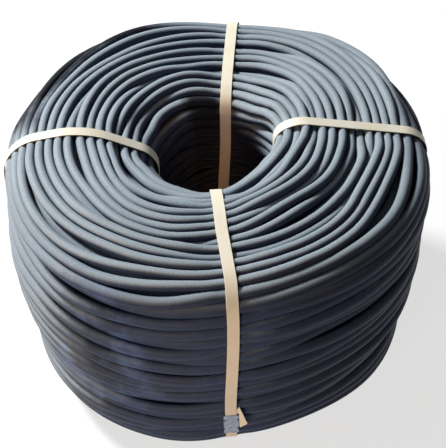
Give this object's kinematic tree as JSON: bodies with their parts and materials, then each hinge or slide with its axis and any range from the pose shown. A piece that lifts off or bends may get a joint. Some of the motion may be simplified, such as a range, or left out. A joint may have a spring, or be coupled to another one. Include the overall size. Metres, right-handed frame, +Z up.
{
  "type": "strapped coil of rubber cord",
  "caption": "Squat domed coil of thick matte rubber cord stock, wound round an open bore and bound by crimped plastic straps, standing on its end.",
  "frame": {"origin": "on the floor, on the axis of the bore", "axes": "+Z up along the bore's axis, -Y towards the strap whose seal and loose end the picture shows, +X to the right of it"},
  "size_m": [0.4499, 0.45, 0.2898],
  "materials": {
    "cord": "matte blue-grey rubber with the fine cross marks of a cloth wrap",
    "strap": "satin cream polypropylene strap",
    "seal": "galvanised sheet steel, crimped"
  },
  "bodies": {
    "root": {"coil": "cord", "strap_front": "strap", "strap_right": "strap", "strap_back": "strap", "strap_left": "strap", "seal_front": "seal", "seal_right": "seal", "seal_back": "seal", "seal_left": "seal"}
  },
  "joints": []
}
